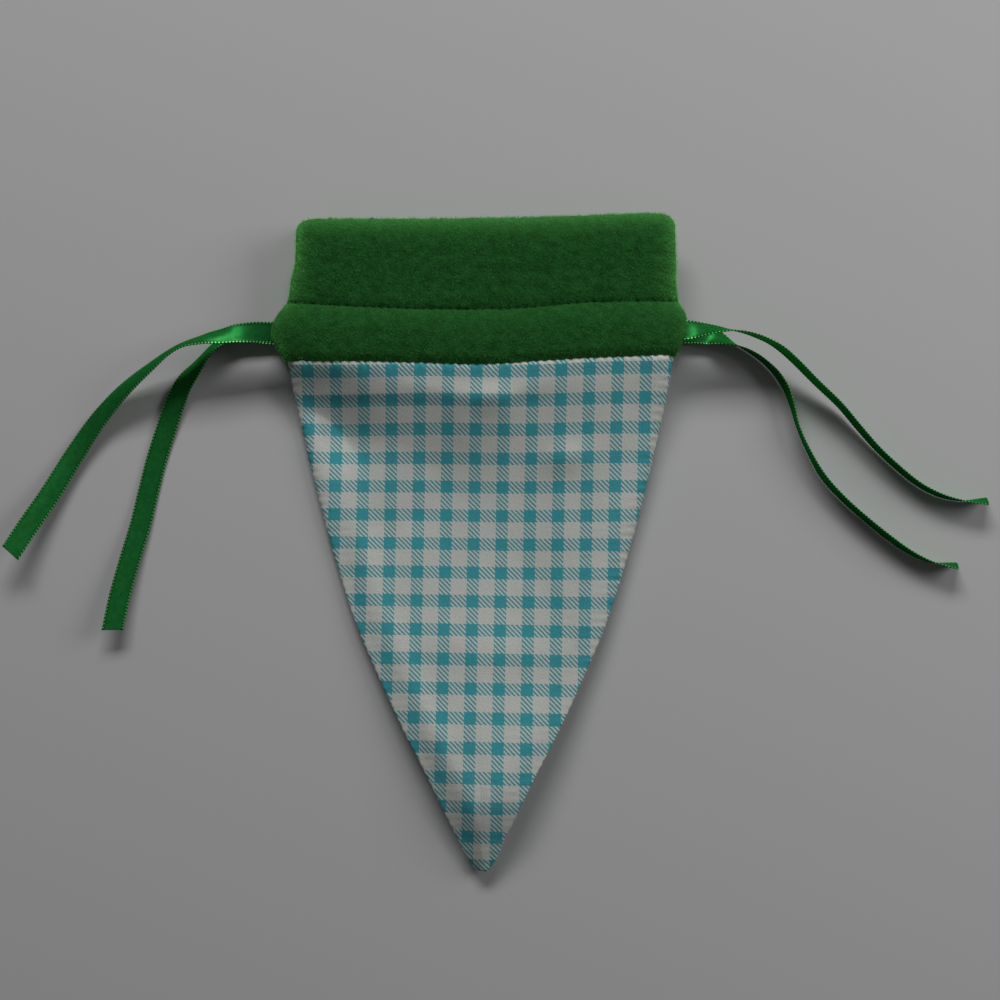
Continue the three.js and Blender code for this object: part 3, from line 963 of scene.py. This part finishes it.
# The front panel leaves the seam at the height LIP and then ramps down. Over x: how far from the seam the
# ramp starts, how long it is, how deep, and how early it falls; and the depth of a small step near the seam.
LIP = 11.7
RAMP_ONSET = 2.5  # how far the start of the ramp is rounded
ramp_start = smooth_curve(
    [
        (-57, 1), (-47, 1), (-38, 2.4), (-30, 3.9), (-21, 5.9), (-12, 7.6), (-3, 10.4), (6, 10.4), (14, 7),
        (25, 6), (57, 5),
    ]
)
ramp_foot = smooth_curve(
    [
        (-57, 14), (-47, 15), (-38, 24), (-30, 37), (-21, 42), (-12, 46), (2, 52), (14, 50), (57, 44),
    ]
)
ramp_drop = smooth_curve(
    [
        (-57, 8), (-47, 8.2), (-38, 9.3), (-30, 9.2), (-10, 9.2), (8, 8.6), (25, 6.2), (40, 5.4), (57, 5.8),
    ]
)
ramp_power = smooth_curve([(-57, 1.3), (-47, 1.3), (-38, 1.6), (-30, 2.0), (-12, 2.3), (57, 2.35)])
notch = smooth_curve([(-57, 0.3), (-38, 0.5), (-21, 0.45), (-3, 0.35), (16, 0.35), (25, 0), (57, 0)])
# How far the front's print is shifted down near the seam, over x.
pattern_slack = smooth_curve(
    [
        (-58, 2.0), (-46, 2.0), (-30, 1.7), (-13, 1.25), (3, 1.3), (19, 0.9), (36, 0), (52, -0.5),
        (58, -0.6),
    ]
)
# Single lumps and dents of the front panel: x, y, height, and how far they reach across and up.
LUMPS = (
    (2, 43.5, 0.8, 5.5, 4.0),
    (25, 24.5, 1.1, 7.5, 4.6),
    (-11, 18, -1.1, 17.0, 14.0),
    (-30, 6, -0.4, 9.0, 6.0),
    (30, -14, 0.4, 7.0, 9.0),
    (-12, -58, 0.35, 8.0, 7.0),
    (-38, 31, -1.5, 13.0, 8.0),
    (-20, 16, 0.5, 14.0, 8.0),
)
PANEL_ROWS = 360
PANEL_COLUMNS = 250
# The side seam runs this far inside the pouch's edge, and crosses this far above its tip.
SEAM_INSET = 4.0
SEAM_FROM_TIP = 5
# From the last row but one of a panel's cloth to its stitches, which stop SEAM_ENDS columns from its sides.
COLLAR_STITCH_OFFSET = {"front": (0, 0.1 * MM, -0.2 * MM), "back": (0, 0.1 * MM, 0.3 * MM)}
SEAM_ENDS = 4


def edge_height(x, from_seam):
    """Height of the side seam: the right side stands higher than the left."""
    low = 1.7 + 1.4 * smoothstep(x, -2, 12) * (1 - smoothstep(from_seam, 70, 140))
    return low + (7.2 - low) * (1 - smoothstep(from_seam, -1, 22))


def front_height(x, from_seam, edge_gap):
    """Height of the front panel: a lip at the seam, a ramp down from it, and a rolled edge."""
    past = from_seam - ramp_start(x)
    past = (past + np.sqrt(past**2 + RAMP_ONSET**2)) / 2
    part = np.clip(past / ramp_foot(x), 0, 1)
    inner = LIP - ramp_drop(x) * (1 - (1 - part) ** ramp_power(x))
    # Away from the seam it levels out at one height, with a small step on the way.
    inner = inner + (2.8 - inner) * smoothstep(from_seam, 40, 120)
    inner = inner - notch(x) * smoothstep(from_seam, 8.8, 12.6)
    # At the seam it puffs up, and the seam itself is drawn in.
    puff_width = np.where(from_seam < 1.0, 0.9, 2.6)
    inner = inner + 0.55 * hump(from_seam, 1.0, puff_width)
    inner = inner - 0.4 * (1 - smoothstep(from_seam, -0.4, 0.8))
    # A ridge follows the side edges, away from the seam.
    inner = inner + 0.9 * hump(edge_gap, 8.5, 4.5) * smoothstep(from_seam, 28, 55)
    rim = edge_height(x, from_seam)
    roll = np.sqrt(np.clip(1 - (1 - np.clip(edge_gap / 4.5, 0, 1)) ** 2, 0, 1))
    dimple = 0.25 * np.cos(2 * np.pi * x / STITCH_STEP) * hump(from_seam, 0, 1.5)
    return rim + (inner - rim) * roll + dimple


def back_height(x, share, from_tip, from_seam):
    """Height of the back panel: flat on the table, and turned up at its sides and its tip."""
    from_side = np.clip((np.abs(share) - 0.8) / 0.2, 0, 1)
    at_tip = np.clip(1 - from_tip / 3.5, 0, 1)
    turn_up = np.maximum(from_side, at_tip) ** 2
    return 0.3 + (edge_height(x, from_seam) - 0.6) * turn_up


def tip_lift(x, from_tip):
    """The pouch's lower end arches off the table, the right side more than the left."""
    return tip_rise(from_tip) * (0.45 + 0.55 * smoothstep(x / outline(from_tip), -1, 0.2))


def wrinkles(x, y):
    """Soft folds: noise stretched down from the seam, a low ridge across, and single lumps and dents."""
    at = np.stack([x, y, np.zeros_like(x)], axis=-1)
    height = noise(at * [1, 0.4, 1], 13, 31) * 0.30 + noise(at, 22, 33) * 0.35
    height = height + noise(at * [1, 0.6, 1], 5, 32) * 0.08 + noise(at, 2.6, 34) * 0.03
    height = height + 0.5 * hump(y + 31 + 0.1 * x, 0, 7) * smoothstep(np.abs(x), 34, 8)
    for cx, cy, amount, wide, tall in LUMPS:
        height = height + amount * np.exp(-(((x - cx) / wide) ** 2) - ((y - cy) / tall) ** 2)
    return height


def make_panel(side, cotton, white):
    """One cotton panel, and the stitches that join it to its collar."""
    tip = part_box(f"{side}_panel")[0][1] / MM
    v = np.linspace(0, 1, PANEL_ROWS)[:, None] + np.zeros(PANEL_COLUMNS)
    share = np.linspace(-1, 1, PANEL_COLUMNS)[None, :]
    y = tip + 0.3 + v * (SEAM - tip - 0.3)
    from_tip, from_seam = y - tip, SEAM - y
    pucker = 0.12 * np.cos(2 * np.pi * y / STITCH_STEP)
    half = outline(from_tip) - 0.25 + pucker
    x = share * half + 0.4 * (1 - smoothstep(from_tip, 0, 12))
    drawn = y + seam_sag(x) * smoothstep(v, 0.25, 1)
    drawn = drawn - 0.5 * (1 - smoothstep(from_tip, 0, 2.5)) * smoothstep(x, -2, 3)
    if side == "front":
        edge_gap = np.minimum(half * (1 - np.abs(share)), from_tip)
        z = front_height(x, from_seam, edge_gap)
        z = z + wrinkles(x, y) * smoothstep(edge_gap, 0.5, 6) * smoothstep(from_seam, 1, 9)
        turned = PATTERN_TURN
        slack = pattern_slack(x) * ((y + 30) / 71).clip(0, 1.2) ** 1.2
    else:
        z = back_height(x, share, from_tip, from_seam)
        turned = -0.4 * PATTERN_TURN
        slack = 0
    z = z + tip_lift(x, from_tip)
    cloth = np.stack([x, drawn, z], axis=-1) * MM
    (start_x, start_y), (pivot_x, pivot_y) = PATTERN_START, PATTERN_PIVOT
    across = x + PATTERN_SHIFT + (pivot_y - drawn) * turned + start_x
    up = drawn + start_y + (x - pivot_x) * turned + slack
    uv = np.stack([across / PATTERN_U, up / PATTERN_V], axis=-1)
    order = -1 if side == "front" else 1
    vertices, faces, uvs = solid_sheet(cloth[::order], uv[::order], COTTON)
    piece = mesh_object(f"{side}_gingham_panel", vertices, faces, cotton, uvs)
    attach(piece, "sack")
    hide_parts(f"{side}_panel")
    line = cloth[-2, SEAM_ENDS:-SEAM_ENDS] + COLLAR_STITCH_OFFSET[side]
    row = stitch_row(f"{side}_collar_stitches", line, (0, 0, 1), COLLAR_THREAD, white, 8)
    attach(row, "sack")
    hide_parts(f"{side}_collar_seam")


def make_side_seam(white):
    """The stitches that join the two panels: down one side, across above the tip and up the other."""
    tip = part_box("back_panel")[0][1] / MM
    y = np.linspace(SEAM - 1, tip + SEAM_FROM_TIP, 120)
    half = outline(y - tip) - SEAM_INSET
    bottom = np.linspace(-half[-1], half[-1], 9)[1:-1]
    x = np.concatenate([-half, bottom, half[::-1]])
    y = np.concatenate([y, np.full(len(bottom), tip + SEAM_FROM_TIP), y[::-1]])
    over = front_height(x, SEAM - y, SEAM_INSET)
    under = back_height(x, 1 - SEAM_INSET / (np.abs(x) + SEAM_INSET), y - tip, SEAM - y)
    line = np.stack([x, y, (over + under) / 2 + tip_lift(x, y - tip)], axis=1) * MM
    row = stitch_row("side_seam_stitches", line, (0, 0, 1), SIDE_THREAD, white, 9)
    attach(row, "sack")
    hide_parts("side_seam")


def make_pouch(white):
    """Both cotton panels and the seam that joins them."""
    cotton = gingham_material()
    for side in ("front", "back"):
        make_panel(side, cotton, white)
    make_side_seam(white)


make_camera()
make_ribbons()
make_stage()
green_thread = thread_material("green_thread", (0.012, 0.105, 0.035))
white_thread = thread_material("white_thread", (0.7, 0.7, 0.66))
make_collars(green_thread)
make_pouch(white_thread)
